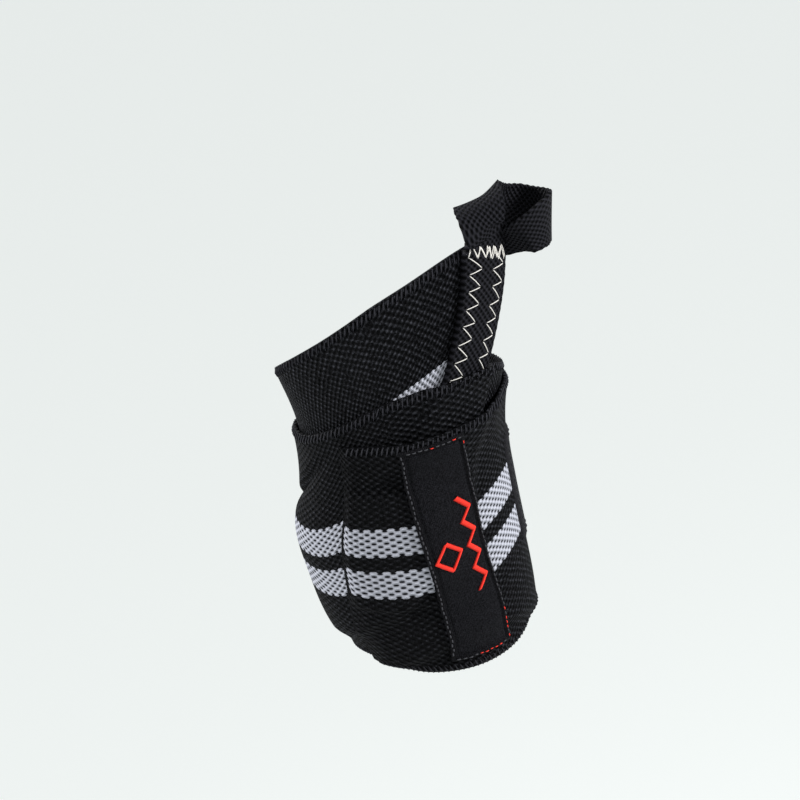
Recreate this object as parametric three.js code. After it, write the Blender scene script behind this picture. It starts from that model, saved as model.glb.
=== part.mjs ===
// A lifter's wrist wrap in the form it takes on a right wrist, palm side towards -Y, thumb side towards +X.
// +Z runs from the forearm to the hand, and the origin is the middle of the wrist. Millimetres.
// One knitted elastic band winds two and a quarter turns; the thumb loop is sewn across its starting end.
import * as THREE from 'three';

// The wrist and heel of the hand that the wrap is wound on
const wristWidth = 58;
const wristDepth = 42;

// The elastic band
const bandWidth = 80;
const bandThickness = 1.6;
const layerGap = 0.4;
const startAngle = 47;
const bandTurns = 2.245;

// The thumb loop, a narrower elastic folded in two and sewn across the start of the band
const tapeWidth = 15;
const tapeThickness = 1.4;
const loopBreadth = 27;
const loopDepth = 26;
const loopRise = 11;
const bartackInset = 1.5;
const seamLength = 50;
const seamSeat = 0.7;

// The label and the two halves of the fastening
const labelTurn = 2.0875;
const labelWidth = 20;
const labelLength = 70;
const labelThickness = 0.8;
const fastenerWidth = 37;
const fastenerRaise = 4.5;
const fastenerThickness = 1.2;
const loopPatchTurn = 1.94;
const loopPatchLength = 80;
const hookPatchLength = 22;
const hookInset = 3;
const seat = 0.35;

// How finely the curved walls are divided
const bandSteps = 92;
const bandRows = 22;

// A layer is lifted clear of what lies under it to rimNear outside its rim, and is down again at rimFar
const rimNear = 4;
const rimFar = 12;

// Reach of the wrist from the axis: height as a share of bandWidth, left and right of wristWidth,
// front and back of wristDepth
const form = [
  { height: -0.56, left: 0.36, right: 0.44, front: 0.50, back: 0.50 },
  { height: -0.38, left: 0.425, right: 0.435, front: 0.51, back: 0.51 },
  { height: -0.20, left: 0.52, right: 0.45, front: 0.51, back: 0.52 },
  { height: 0.00, left: 0.55, right: 0.455, front: 0.50, back: 0.52 },
  { height: 0.20, left: 0.55, right: 0.46, front: 0.50, back: 0.50 },
  { height: 0.35, left: 0.48, right: 0.47, front: 0.50, back: 0.49 },
  { height: 0.48, left: 0.455, right: 0.50, front: 0.51, back: 0.48 },
  { height: 0.62, left: 0.445, right: 0.56, front: 0.54, back: 0.46 },
  { height: 0.80, left: 0.47, right: 0.66, front: 0.56, back: 0.44 },
  { height: 1.00, left: 0.53, right: 0.74, front: 0.56, back: 0.42 },
  { height: 1.40, left: 0.60, right: 0.78, front: 0.54, back: 0.42 },
];

// Route of the band: the height of its two edges and how far each leans towards the start, as shares of
// bandWidth, at turns counted from the start
const route = [
  { turn: 0.00, top: 1.21, bottom: 0.02, topLean: 0.10, bottomLean: -0.20 },
  { turn: 0.05, top: 1.20, bottom: 0.03, topLean: 0.07, bottomLean: -0.15 },
  { turn: 0.11, top: 1.13, bottom: 0.02, topLean: 0.03, bottomLean: -0.07 },
  { turn: 0.18, top: 0.99, bottom: -0.01, topLean: -0.08, bottomLean: 0.08 },
  { turn: 0.255, top: 0.86, bottom: -0.06, topLean: -0.19, bottomLean: 0.19 },
  { turn: 0.40, top: 0.74, bottom: -0.20, topLean: -0.13, bottomLean: 0.13 },
  { turn: 0.62, top: 0.70, bottom: -0.28, topLean: -0.06, bottomLean: 0.06 },
  { turn: 0.88, top: 0.655, bottom: -0.33, topLean: -0.02, bottomLean: 0.02 },
  { turn: 1.03, top: 0.745, bottom: -0.25, topLean: 0.00, bottomLean: 0.00 },
  { turn: 1.13, top: 0.72, bottom: -0.26, topLean: -0.05, bottomLean: 0.05 },
  { turn: 1.20, top: 0.66, bottom: -0.30, topLean: -0.06, bottomLean: 0.06 },
  { turn: 1.28, top: 0.60, bottom: -0.33, topLean: -0.06, bottomLean: 0.06 },
  { turn: 1.38, top: 0.585, bottom: -0.34, topLean: -0.05, bottomLean: 0.03 },
  { turn: 1.62, top: 0.57, bottom: -0.41, topLean: -0.02, bottomLean: 0.02 },
  { turn: 1.88, top: 0.54, bottom: -0.37, topLean: 0.00, bottomLean: 0.00 },
  { turn: 2.00, top: 0.56, bottom: -0.40, topLean: 0.00, bottomLean: 0.00 },
  { turn: 2.13, top: 0.57, bottom: -0.40, topLean: 0.00, bottomLean: 0.00 },
  { turn: 2.20, top: 0.58, bottom: -0.375, topLean: 0.00, bottomLean: -0.04 },
  { turn: 2.26, top: 0.585, bottom: -0.315, topLean: 0.05, bottomLean: -0.10 },
];

// The crease between the heel of the hand and the wrist bone: a valley from the left edge of the wrist
// towards the corner of the free end
const crease = {
  angle: -92,
  height: 0.33,
  climb: 0.0051,
  depth: 0.055,
  width: 0.055,
  reach: 42,
};

// A smooth curve through one column of a table
function along(table, key, column, at) {
  const x = Math.min(Math.max(at, table[0][key]), table[table.length - 1][key]);
  let i = 0;
  while (i < table.length - 2 && x > table[i + 1][key]) i += 1;
  const step = (k) => table[k + 1][key] - table[k][key];
  const rise = (k) => (table[k + 1][column] - table[k][column]) / step(k);
  const slope = (k) => {
    if (k === 0) return rise(0);
    if (k === table.length - 1) return rise(k - 1);
    return (rise(k - 1) * step(k) + rise(k) * step(k - 1)) / (step(k) + step(k - 1));
  };
  const h = step(i);
  const u = (x - table[i][key]) / h;
  const start = (2 * u ** 3 - 3 * u ** 2 + 1) * table[i][column] + (u ** 3 - 2 * u ** 2 + u) * h * slope(i);
  const end = (3 * u ** 2 - 2 * u ** 3) * table[i + 1][column] + (u ** 3 - u ** 2) * h * slope(i + 1);
  return start + end;
}

const radians = (degrees) => degrees * Math.PI / 180;

// 0 below the lower bound, 1 above the upper one, and smooth between them
function ease(low, high, x) {
  const u = Math.min(Math.max((x - low) / (high - low), 0), 1);
  return u * u * (3 - 2 * u);
}

// How deep the crease is at a place on the wrist
function creaseDepth(angle, z) {
  const away = angle - crease.angle;
  const line = (crease.height + crease.climb * Math.max(away, 0)) * bandWidth;
  const across = (z - line) / (crease.width * bandWidth);
  return crease.depth * wristWidth * Math.exp(-across * across) * Math.exp(-((away / crease.reach) ** 2));
}

// A point at an angle round the wrist, 0 in front and positive towards the thumb, off the skin by `off`
function onForm(angle, z, off) {
  const height = z / bandWidth;
  const wrapped = ((angle + 180) % 360 + 360) % 360 - 180;
  const s = Math.sin(radians(wrapped));
  const c = Math.cos(radians(wrapped));
  const side = along(form, 'height', s > 0 ? 'right' : 'left', height) * wristWidth;
  const face = along(form, 'height', c > 0 ? 'front' : 'back', height) * wristDepth;
  const dent = creaseDepth(wrapped, z);
  return new THREE.Vector3((side + off - dent) * s, -(face + off - dent) * c, z);
}

// Millimetres of wrist for each radian round it
function girthRate(angle, z) {
  const a = onForm(angle - 1, z, bandThickness);
  const b = onForm(angle + 1, z, bandThickness);
  return a.distanceTo(b) / radians(2);
}

// The band's edges at a turn
function edges(turn) {
  return {
    top: along(route, 'turn', 'top', turn) * bandWidth,
    bottom: along(route, 'turn', 'bottom', turn) * bandWidth,
    topLean: along(route, 'turn', 'topLean', turn) * bandWidth,
    bottomLean: along(route, 'turn', 'bottomLean', turn) * bandWidth,
  };
}

// Where a point of the band lies on the wrist; v runs from -1 at its bottom edge to 1 at its top edge
function onBand(turn, v) {
  const e = edges(turn);
  const angle = startAngle - 360 * turn;
  const lean = v * (e.topLean - e.bottomLean) / 2 + v * v * (e.topLean + e.bottomLean) / 2;
  return {
    angle: angle + lean / girthRate(angle, (e.top + e.bottom) / 2) * 180 / Math.PI,
    z: e.bottom + (e.top - e.bottom) * (v + 1) / 2,
  };
}

// The turn and v of the band's pass number `pass` at a place on the wrist
function underAt(angle, z, pass) {
  let turn = (startAngle - angle) / 360;
  turn += Math.round(pass - turn);
  const goal = startAngle - 360 * turn;
  let v = 0;
  for (let i = 0; i < 4; i += 1) {
    const e = edges(turn);
    v = (z - e.bottom) / (e.top - e.bottom) * 2 - 1;
    const held = Math.min(Math.max(v, -1.3), 1.3);
    turn += (onBand(turn, held).angle - goal) / 360;
  }
  return { turn, v };
}

// The part of a turn that a length takes up at a place on the wrist
function turnsOf(length, angle, z) {
  return length / girthRate(angle, z) / (2 * Math.PI);
}

// The band's starting edge, which the thumb loop is sewn along: its height, its lean and the v of the seam's ends
const startHeight = edges(0).top - edges(0).bottom;
const startLean = Math.atan2(edges(0).topLean - edges(0).bottomLean, startHeight);
const seamLow = 1 - 2 * seamLength / startHeight;
const seamHigh = 1 - 2 * bartackInset / startHeight;
const endAngle = startAngle - 360 * bandTurns;
const hookTurns = turnsOf(hookPatchLength, endAngle, 0);
const hookEnd = bandTurns - turnsOf(hookInset, endAngle, 0);

// How much of a layer between two turns and two v lies under a place, with a ramp outside its rim
function coverage(place, from, to, low, high) {
  const e = edges(place.turn);
  const half = (e.top - e.bottom) / 2;
  const perTurn = 2 * Math.PI * girthRate(startAngle - 360 * place.turn, (e.top + e.bottom) / 2);
  const across = Math.max((low - place.v) * half, (place.v - high) * half);
  const beside = Math.max((from - place.turn) * perTurn, (place.turn - to) * perTurn);
  return 1 - ease(rimNear, rimFar, Math.max(across, beside));
}

// The same for the doubled tape sewn along the starting edge
function tapeCoverage(angle, z) {
  const v = (z - edges(0).bottom) / startHeight * 2 - 1;
  const edge = onBand(0, Math.min(Math.max(v, -1.3), 1.3));
  const away = ((edge.angle - angle + 180) % 360 + 360) % 360 - 180;
  const inside = radians(away) * girthRate(edge.angle, z) * Math.cos(startLean);
  const beside = Math.max(-inside, inside - tapeWidth);
  const beyond = Math.max(seamLow - v, v - 1) * startHeight / 2;
  return 1 - ease(rimNear, rimFar, Math.max(beside, beyond));
}

const fastenerLow = (2 * fastenerRaise - fastenerWidth) / bandWidth;
const fastenerHigh = (2 * fastenerRaise + fastenerWidth) / bandWidth;

// Height above the skin of the band's inner face
function bandRise(turn, v) {
  const place = onBand(turn, v);
  let rise = 0;
  for (let below = 1; below <= Math.ceil(turn); below += 1) {
    const under = underAt(place.angle, place.z, turn - below);
    rise += (bandThickness + layerGap) * coverage(under, 0, bandTurns, -1, 1);
  }
  if (turn > 0.5) {
    rise += (2 * tapeThickness + seat + 2 * seamSeat - layerGap) * tapeCoverage(place.angle, place.z);
  }
  if (turn > bandTurns - 1) {
    const under = coverage({ turn, v }, hookEnd - hookTurns, hookEnd, fastenerLow, fastenerHigh);
    rise += (fastenerThickness + seat) * under;
  }
  return rise;
}

// A closed sheet over a grid of places, each known by its column and row: outer face, inner face and rims
function sheet(columns, rows, outer, inner) {
  const points = [];
  for (const face of [outer, inner]) {
    for (let i = 0; i <= columns; i += 1) {
      for (let j = 0; j <= rows; j += 1) points.push(face(i, j));
    }
  }
  const size = (columns + 1) * (rows + 1);
  const at = (i, j, face) => face * size + i * (rows + 1) + j;
  const index = [];
  const quad = (a, b, c, d) => index.push(a, b, c, a, c, d);
  for (let i = 0; i < columns; i += 1) {
    for (let j = 0; j < rows; j += 1) {
      quad(at(i, j, 0), at(i, j + 1, 0), at(i + 1, j + 1, 0), at(i + 1, j, 0));
      quad(at(i, j, 1), at(i + 1, j, 1), at(i + 1, j + 1, 1), at(i, j + 1, 1));
    }
    quad(at(i, 0, 0), at(i + 1, 0, 0), at(i + 1, 0, 1), at(i, 0, 1));
    quad(at(i, rows, 0), at(i, rows, 1), at(i + 1, rows, 1), at(i + 1, rows, 0));
  }
  for (let j = 0; j < rows; j += 1) {
    quad(at(0, j, 0), at(0, j, 1), at(0, j + 1, 1), at(0, j + 1, 0));
    quad(at(columns, j, 0), at(columns, j + 1, 0), at(columns, j + 1, 1), at(columns, j, 1));
  }
  const geometry = new THREE.BufferGeometry();
  geometry.setAttribute('position', new THREE.Float32BufferAttribute(points.flatMap((p) => [p.x, p.y, p.z]), 3));
  geometry.setIndex(index);
  return geometry;
}

// A point at a height over the inner face of the band
function offBand(turn, v, lift) {
  const place = onBand(turn, v);
  return onForm(place.angle, place.z, bandRise(turn, v) + lift);
}

// The ends of a stretch and the band's own grid lines between them, so that what lies on it fits its facets
function gridLines(from, to, first, step) {
  const lines = [from];
  const spare = 0.3 * step;
  for (let k = Math.ceil((from + spare - first) / step); first + k * step < to - spare; k += 1) {
    lines.push(first + k * step);
  }
  lines.push(to);
  return lines;
}

// A layer that follows the band between two turns and two v, from one height over its inner face to another
function layer(from, to, low, high, base, top) {
  const turns = gridLines(from, to, 0, bandTurns / bandSteps);
  const lines = gridLines(low, high, -1, 2 / bandRows);
  const face = (lift) => (i, j) => offBand(turns[i], lines[j], lift);
  return sheet(turns.length - 1, lines.length - 1, face(top), face(base));
}

function elasticBand() {
  return layer(0, bandTurns, -1, 1, 0, bandThickness);
}

function label() {
  const half = turnsOf(labelWidth, startAngle - 360 * labelTurn, 0) / 2;
  const reach = labelLength / bandWidth;
  const base = bandThickness + seat;
  return layer(labelTurn - half, labelTurn + half, -reach, reach, base, base + labelThickness);
}

function loopPatch() {
  const length = turnsOf(loopPatchLength, startAngle - 360 * (loopPatchTurn - 0.2), 0);
  const base = bandThickness + seat;
  const top = base + fastenerThickness;
  return layer(loopPatchTurn - length, loopPatchTurn, fastenerLow, fastenerHigh, base, top);
}

function hookPatch() {
  return layer(hookEnd - hookTurns, hookEnd, fastenerLow, fastenerHigh, -seat - fastenerThickness, -seat);
}

// Stations of the tape after it leaves the top of the seam: to the right as a share of loopBreadth, back as a
// share of loopDepth and up as a share of loopRise; the way its outer face looks, in degrees round from the
// front and upwards; and its breadth as a share of tapeWidth, less where it gathers to meet its own start
const loopPath = [
  { right: 0.035, back: -0.10, up: 0.36, round: 27, upwards: 2, breadth: 1 },
  { right: -0.010, back: -0.02, up: 0.68, round: 9, upwards: 12, breadth: 1 },
  { right: -0.045, back: 0.12, up: 0.91, round: -8, upwards: 38, breadth: 1 },
  { right: -0.020, back: 0.27, up: 1.02, round: -40, upwards: 62, breadth: 1 },
  { right: 0.055, back: 0.46, up: 0.95, round: -100, upwards: 48, breadth: 1 },
  { right: 0.20, back: 0.65, up: 0.82, round: -145, upwards: 22, breadth: 1 },
  { right: 0.43, back: 0.74, up: 0.69, round: -178, upwards: 6, breadth: 1 },
  { right: 0.63, back: 0.645, up: 0.56, round: -218, upwards: 0, breadth: 1 },
  { right: 0.74, back: 0.44, up: 0.45, round: -255, upwards: 0, breadth: 1 },
  { right: 0.74, back: 0.23, up: 0.38, round: -283, upwards: 0, breadth: 1 },
  { right: 0.64, back: 0.06, up: 0.24, round: -312, upwards: 0, breadth: 0.97 },
  { right: 0.465, back: -0.02, up: -0.05, round: -335, upwards: 0, breadth: 0.8 },
];
const tapeEnd = { v: 0.97, inside: -0.3, breadth: 0.5 };

// A point over the seam: v along the starting edge, `inside` mm in from it, `lift` mm off the skin
function overSeam(v, inside, lift) {
  const edge = onBand(0, v);
  const z = edge.z + inside * Math.sin(startLean);
  const round = inside * Math.cos(startLean) / girthRate(edge.angle, z);
  return onForm(edge.angle - round * 180 / Math.PI, z, lift);
}

// One tape: doubled and sewn along the seam, then single round the thumb and back to the edge of its own start
function thumbLoop() {
  const rows = 4;
  const seamSteps = 14;
  const loopSteps = 44;
  const low = bandThickness + seamSeat;
  const single = low + tapeThickness + seat;
  const high = single + tapeThickness;
  const seamAt = (i) => seamLow + (seamHigh - seamLow) * i / seamSteps;
  const lines = [];
  for (let i = 0; i <= seamSteps; i += 1) {
    lines.push((j, side) => overSeam(seamAt(i), tapeWidth * (1 - j / rows), side > 0 ? high : low));
  }
  const lookFrom = (v) => {
    const across = overSeam(v, 0, low).sub(overSeam(v, tapeWidth, low));
    const up = overSeam(v, 0, low).sub(overSeam(v - 0.05, 0, low));
    return new THREE.Vector3().crossVectors(across, up).normalize();
  };
  const seamBend = (v, inside, lift, breadth) => ({
    centre: overSeam(v, tapeWidth * inside, lift + tapeThickness / 2),
    out: lookFrom(v),
    breadth,
  });
  const seamEnd = overSeam(seamHigh, tapeWidth / 2, low);
  const bends = loopPath.map(({ right, back, up, round, upwards, breadth }) => {
    const level = Math.cos(radians(upwards));
    const out = new THREE.Vector3(
      Math.sin(radians(round)) * level,
      -Math.cos(radians(round)) * level,
      Math.sin(radians(upwards)),
    );
    const centre = new THREE.Vector3(right * loopBreadth, back * loopDepth, up * loopRise).add(seamEnd);
    return { centre, out, breadth };
  });
  bends.unshift(seamBend(seamAt(seamSteps - 2), 0.5, single, 1), seamBend(seamHigh, 0.5, single, 1));
  bends.push(seamBend(tapeEnd.v, tapeEnd.inside, low, tapeEnd.breadth));
  const path = new THREE.CatmullRomCurve3(bends.map((bend) => bend.centre), false, 'centripetal');
  const spans = bends.length - 1;
  for (let i = 1; i <= loopSteps; i += 1) {
    const t = (1 + (spans - 1) * i / loopSteps) / spans;
    const k = Math.min(Math.floor(t * spans), spans - 1);
    const past = t * spans - k;
    const out = bends[k].out.clone().lerp(bends[k + 1].out, past).normalize();
    const breadth = tapeWidth * (bends[k].breadth * (1 - past) + bends[k + 1].breadth * past);
    const tangent = path.getTangent(t);
    const across = new THREE.Vector3().crossVectors(tangent, out).normalize();
    const normal = new THREE.Vector3().crossVectors(across, tangent);
    lines.push((j, side) => path.getPoint(t)
      .addScaledVector(across, (j / rows - 0.5) * breadth)
      .addScaledVector(normal, side * tapeThickness / 2));
  }
  return sheet(lines.length - 1, rows, (i, j) => lines[i](j, 1), (i, j) => lines[i](j, -1));
}

const knit = new THREE.MeshStandardMaterial({ color: 0x141418, roughness: 0.95 });
const tape = new THREE.MeshStandardMaterial({ color: 0x17171b, roughness: 0.92 });
const twill = new THREE.MeshStandardMaterial({ color: 0x242427, roughness: 0.6 });
const pile = new THREE.MeshStandardMaterial({ color: 0x101013, roughness: 1 });

function piece(name, geometry, material) {
  const mesh = new THREE.Mesh(geometry, material);
  mesh.name = name;
  return mesh;
}

const wristWrap = new THREE.Group();
wristWrap.add(piece('elastic_band', elasticBand(), knit));
wristWrap.add(piece('thumb_loop', thumbLoop(), tape));
wristWrap.add(piece('label', label(), twill));
wristWrap.add(piece('loop_patch', loopPatch(), pile));
wristWrap.add(piece('hook_patch', hookPatch(), pile));

export default wristWrap;
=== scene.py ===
"""A lifter's elastic wrist wrap in the form that it takes on a right wrist, palm side to the camera."""
import math

import bpy
import numpy as np
from mathutils import Matrix, Vector


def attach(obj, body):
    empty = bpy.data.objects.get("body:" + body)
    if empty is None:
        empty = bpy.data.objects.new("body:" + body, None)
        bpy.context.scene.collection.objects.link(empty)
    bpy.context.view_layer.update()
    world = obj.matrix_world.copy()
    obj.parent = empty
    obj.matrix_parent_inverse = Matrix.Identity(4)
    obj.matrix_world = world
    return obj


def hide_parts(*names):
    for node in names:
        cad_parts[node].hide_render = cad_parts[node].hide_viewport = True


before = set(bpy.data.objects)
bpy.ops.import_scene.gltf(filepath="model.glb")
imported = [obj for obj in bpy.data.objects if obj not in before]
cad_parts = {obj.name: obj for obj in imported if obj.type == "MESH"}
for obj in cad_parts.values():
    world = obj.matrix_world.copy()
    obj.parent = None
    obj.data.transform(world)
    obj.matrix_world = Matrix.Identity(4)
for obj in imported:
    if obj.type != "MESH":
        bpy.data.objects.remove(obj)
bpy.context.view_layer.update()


# The studio: a pale floor that runs out of sight, with soft round lights from the right, the left and
# behind. The camera stands about a metre off on the palm side, above the wrist and tilted, as in the
# photograph.
def linear(hex_colour):
    channels = [int(hex_colour[i:i + 2], 16) / 255 for i in (1, 3, 5)]
    return [c / 12.92 if c <= 0.04045 else ((c + 0.055) / 1.055) ** 2.4 for c in channels] + [1]


def node(tree, kind, inputs, **settings):
    """Adds a shader node, sets its sockets from values or links, and gives its first output"""
    made = tree.nodes.new("ShaderNode" + kind)
    for name, value in settings.items():
        setattr(made, name, value)
    for socket, value in inputs.items():
        if isinstance(value, bpy.types.NodeSocket):
            tree.links.new(value, made.inputs[socket])
        else:
            made.inputs[socket].default_value = value
    return made.outputs[0]


def principled(name, inputs):
    """A material with only a Principled shader, and its node tree"""
    material = bpy.data.materials.new(name)
    material.use_nodes = True
    material.node_tree.nodes.clear()
    shader = node(material.node_tree, "BsdfPrincipled", inputs)
    output = material.node_tree.nodes.new("ShaderNodeOutputMaterial")
    material.node_tree.links.new(shader, output.inputs["Surface"])
    return material, shader.node


def soft_light(name, place, target, width, watts):
    light = bpy.data.lights.new(name, "AREA")
    light.shape = "DISK"
    light.size = width
    light.energy = watts
    lamp = bpy.data.objects.new(name, light)
    bpy.context.collection.objects.link(lamp)
    lamp.location = place
    lamp.rotation_euler = (Vector(target) - Vector(place)).to_track_quat("-Z", "Y").to_euler()


aim = Vector((0.005, -0.003, 0.0417))
eye = Vector((0.0, -0.9887, 0.4822))
camera_roll = math.radians(13.6)
elevation = math.radians(26)
camera = bpy.data.objects.new("camera", bpy.data.cameras.new("camera"))
bpy.context.collection.objects.link(camera)
forward = (aim - eye).normalized()
level_up = Vector((0, math.sin(elevation), math.cos(elevation)))
tilted_up = math.sin(camera_roll) * Vector((1, 0, 0)) + math.cos(camera_roll) * level_up
right = forward.cross(tilted_up).normalized()
up = right.cross(forward)
camera.matrix_world = Matrix((
    (right.x, up.x, -forward.x, eye.x),
    (right.y, up.y, -forward.y, eye.y),
    (right.z, up.z, -forward.z, eye.z),
    (0, 0, 0, 1),
))
camera.data.lens = 165
camera.data.sensor_width = 36
camera.data.shift_x = -0.016
camera.data.shift_y = 0.023
bpy.context.scene.camera = camera

lamp_width = 0.5
lamps = (
    ("key", (1.05, -0.4, 0.55), 21),
    ("fill", (-1.0, -0.1, 0.3), 9),
    ("rim", (-0.55, 0.75, 0.55), 8),
)
for lamp_name, lamp_place, lamp_watts in lamps:
    soft_light(lamp_name, lamp_place, aim, lamp_width, lamp_watts)
studio_white = linear("#ebeeed")
world = bpy.data.worlds.new("studio")
bpy.context.scene.world = world
world.use_nodes = True
background = world.node_tree.nodes["Background"]
background.inputs["Color"].default_value = studio_white
background.inputs["Strength"].default_value = 0.75
bpy.context.scene.view_settings.view_transform = "Standard"

floor_drop = 1.2
floor_reach = 9.0
floor_mesh = bpy.data.meshes.new("floor")
floor_corners = [(x * floor_reach, y * floor_reach, -floor_drop)
                 for x, y in ((-1, -1), (1, -1), (1, 1), (-1, 1))]
floor_mesh.from_pydata(floor_corners, [], [(0, 1, 2, 3)])
floor = bpy.data.objects.new("floor", floor_mesh)
bpy.context.collection.objects.link(floor)
# Matt white paint with no shine, given a little light of its own so that it stays even out to its far
# edge
floor_paint, _ = principled("floor_paint", {
    "Base Color": linear("#e6e9e8"), "Roughness": 0.9,
    "Emission Color": studio_white, "Emission Strength": 0.34,
})
floor_mesh.materials.append(floor_paint)


# The elastic band: 80 mm knitted elastic of polyester over rubber, black with two white stripes, cut to
# about 360 mm and stretched as it is wound. It winds two and a quarter turns, each over the last, and its
# end is hemmed.
MM = 0.001
wrist_width = 58
wrist_depth = 42
band_width = 80
band_thickness = 1.6
layer_gap = 0.4
start_angle = 47
band_turns = 2.245

# Reach of the wrist from its axis: left and right as shares of wrist_width, front and back of
# wrist_depth, at heights that are shares of band_width
form = {
    "height": (-0.56, -0.38, -0.20, 0.00, 0.20, 0.35, 0.48, 0.62, 0.80, 1.00, 1.40),
    "left": (0.36, 0.425, 0.52, 0.56, 0.565, 0.495, 0.465, 0.462, 0.50, 0.565, 0.63),
    "right": (0.44, 0.435, 0.45, 0.455, 0.46, 0.47, 0.50, 0.56, 0.66, 0.74, 0.78),
    "front": (0.50, 0.51, 0.51, 0.50, 0.50, 0.50, 0.51, 0.54, 0.56, 0.56, 0.54),
    "back": (0.50, 0.51, 0.52, 0.52, 0.50, 0.49, 0.48, 0.46, 0.44, 0.42, 0.42),
}
# The heights of the band's edges, and how far they and its middle lean towards the start, all as shares
# of band_width, at numbers of turns from the start
route = {
    "turn": (0.00, 0.05, 0.11, 0.18, 0.255, 0.40, 0.62, 0.88, 1.03, 1.13, 1.20, 1.28, 1.38, 1.62,
             1.88, 2.00, 2.13, 2.20, 2.26),
    "top": (1.21, 1.20, 1.13, 0.99, 0.86, 0.74, 0.70, 0.655, 0.745, 0.72, 0.66, 0.60, 0.585, 0.57,
            0.595, 0.58, 0.57, 0.58, 0.585),
    "bottom": (0.02, 0.03, 0.02, -0.01, -0.06, -0.20, -0.28, -0.33, -0.25, -0.26, -0.30, -0.33,
               -0.34, -0.41, -0.345, -0.405, -0.413, -0.385, -0.32),
    "top_lean": (0.10, 0.07, 0.03, -0.08, -0.19, -0.13, -0.06, -0.02, 0.00, -0.05, -0.06, -0.06,
                 -0.05, -0.02, 0.00, 0.00, 0.00, 0.00, 0.05),
    "bottom_lean": (-0.20, -0.15, -0.07, 0.08, 0.19, 0.13, 0.06, 0.02, 0.00, 0.05, 0.06, 0.06, 0.03,
                    0.02, 0.00, 0.00, 0.00, -0.04, -0.10),
    "middle_lean": (-0.03, -0.02, -0.01, 0.00, 0.00, 0.00, 0.00, 0.00, 0.00, 0.00, 0.00, 0.00, 0.00,
                    0.00, 0.00, 0.00, 0.00, 0.00, 0.00),
}
# The crease at the left side, where the wrist bends: its place and reach round the wrist in degrees, its
# height, its climb for each degree and its width as shares of band_width, and its depth as one of
# wrist_width
crease = {"angle": -92, "height": 0.30, "climb": 0.0051, "depth": 0.034, "width": 0.026, "reach": 42}


def along(table, key, column, at):
    """A smooth curve through one column of a table"""
    xs = np.array(table[key])
    ys = np.array(table[column])
    step = np.diff(xs)
    rise = np.diff(ys) / step
    inner = (rise[:-1] * step[1:] + rise[1:] * step[:-1]) / (step[1:] + step[:-1])
    slope = np.concatenate(([rise[0]], inner, [rise[-1]]))
    x = np.clip(at, xs[0], xs[-1])
    i = np.clip(np.searchsorted(xs, x, side="right") - 1, 0, len(step) - 1)
    u = (x - xs[i]) / step[i]
    start = (2 * u ** 3 - 3 * u ** 2 + 1) * ys[i] + (u ** 3 - 2 * u ** 2 + u) * step[i] * slope[i]
    end = (3 * u ** 2 - 2 * u ** 3) * ys[i + 1] + (u ** 3 - u ** 2) * step[i] * slope[i + 1]
    return start + end


def ease(low, high, x):
    u = np.clip((x - low) / (high - low), 0, 1)
    return u * u * (3 - 2 * u)


def crease_depth(angle, z):
    away = angle - crease["angle"]
    line = (crease["height"] + crease["climb"] * np.maximum(away, 0)) * band_width
    across = (z - line) / (crease["width"] * band_width)
    return crease["depth"] * wrist_width * np.exp(-across ** 2 - (away / crease["reach"]) ** 2)


def on_form(angle, z, off):
    """Points at an angle round the wrist, 0 in front and positive towards the thumb, off the skin, in mm"""
    angle, z, off = np.broadcast_arrays(np.asarray(angle, float), z, off)
    wrapped = (angle + 180) % 360 - 180
    s, c = np.sin(np.radians(wrapped)), np.cos(np.radians(wrapped))
    height = z / band_width
    side = np.where(s > 0, along(form, "height", "right", height), along(form, "height", "left", height))
    face = np.where(c > 0, along(form, "height", "front", height), along(form, "height", "back", height))
    dent = crease_depth(wrapped, z)
    x = (side * wrist_width + off - dent) * s
    y = -(face * wrist_depth + off - dent) * c
    return np.stack([x, y, z], axis=-1)


def girth_rate(angle, z):
    """Millimetres of wrist for each radian round it"""
    apart = on_form(angle + 1, z, band_thickness) - on_form(angle - 1, z, band_thickness)
    return np.linalg.norm(apart, axis=-1) / math.radians(2)


def edge(column, turn):
    return along(route, "turn", column, turn) * band_width


def on_band(turn, v):
    """The angle and height of a point of the band; v runs from -1 at its bottom edge to 1 at its top edge"""
    top, bottom = edge("top", turn), edge("bottom", turn)
    top_lean, bottom_lean = edge("top_lean", turn), edge("bottom_lean", turn)
    angle = start_angle - 360 * np.asarray(turn, float)
    middle_lean = edge("middle_lean", turn)
    bow = (top_lean + bottom_lean) / 2 - middle_lean
    lean = middle_lean + v * (top_lean - bottom_lean) / 2 + v * v * bow
    place = angle + np.degrees(lean / girth_rate(angle, (top + bottom) / 2))
    return place, bottom + (top - bottom) * (v + 1) / 2


def under_at(angle, z, wanted):
    """The turn and v of the pass nearest to the wanted turn at a place on the wrist"""
    turn = (start_angle - angle) / 360
    turn = turn + np.round(wanted - turn)
    goal = start_angle - 360 * turn
    for _ in range(4):
        v = (z - edge("bottom", turn)) / (edge("top", turn) - edge("bottom", turn)) * 2 - 1
        turn = turn + (on_band(turn, np.clip(v, -1.3, 1.3))[0] - goal) / 360
    return turn, v


def turns_of(length, angle, z):
    return float(length / girth_rate(angle, z) / (2 * math.pi))


def coverage(turn, v, start, end, low, high, near=0.6, far=5.5):
    """How far a layer lies under a place: 1 over it, and down to 0 beside it, where the cloth slopes off"""
    top, bottom = edge("top", turn), edge("bottom", turn)
    per_turn = 2 * math.pi * girth_rate(start_angle - 360 * turn, (top + bottom) / 2)
    across = np.maximum(low - v, v - high) * (top - bottom) / 2
    beside = np.maximum(start - turn, turn - end) * per_turn
    return 1 - ease(near, far, np.maximum(across, beside))


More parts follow.
